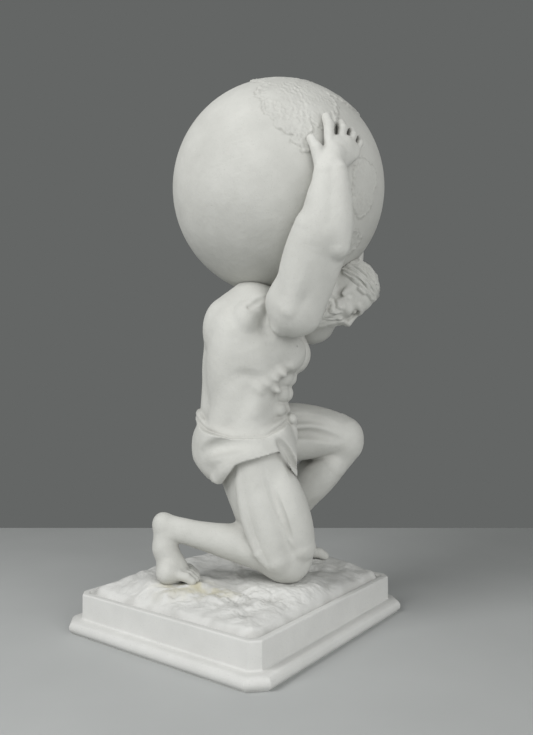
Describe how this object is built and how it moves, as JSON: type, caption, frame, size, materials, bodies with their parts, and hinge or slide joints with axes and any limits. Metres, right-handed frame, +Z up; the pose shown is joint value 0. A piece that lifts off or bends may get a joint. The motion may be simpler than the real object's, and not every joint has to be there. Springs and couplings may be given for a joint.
{
  "type": "kneeling atlas statuette with globe",
  "caption": "Tabletop statuette of a kneeling bearded man who carries a globe on his nape and hands, on a square moulded plinth with a rocky top.",
  "frame": {"origin": "middle of the plinth's underside", "axes": "+Z up, +X and +Y along the plinth's sides; the figure faces about 36 degrees left of +X, towards +X +Y"},
  "size_m": [0.1452, 0.1494, 0.295],
  "materials": {
    "cast_plinth": "matte cast stone resin, warm white",
    "cast_figure": "matte cast stone resin, warm white",
    "cast_globe": "matte cast stone resin, warm white"
  },
  "bodies": {
    "root": {"plinth": "cast_plinth", "figure": "cast_figure", "globe": "cast_globe"}
  },
  "joints": []
}
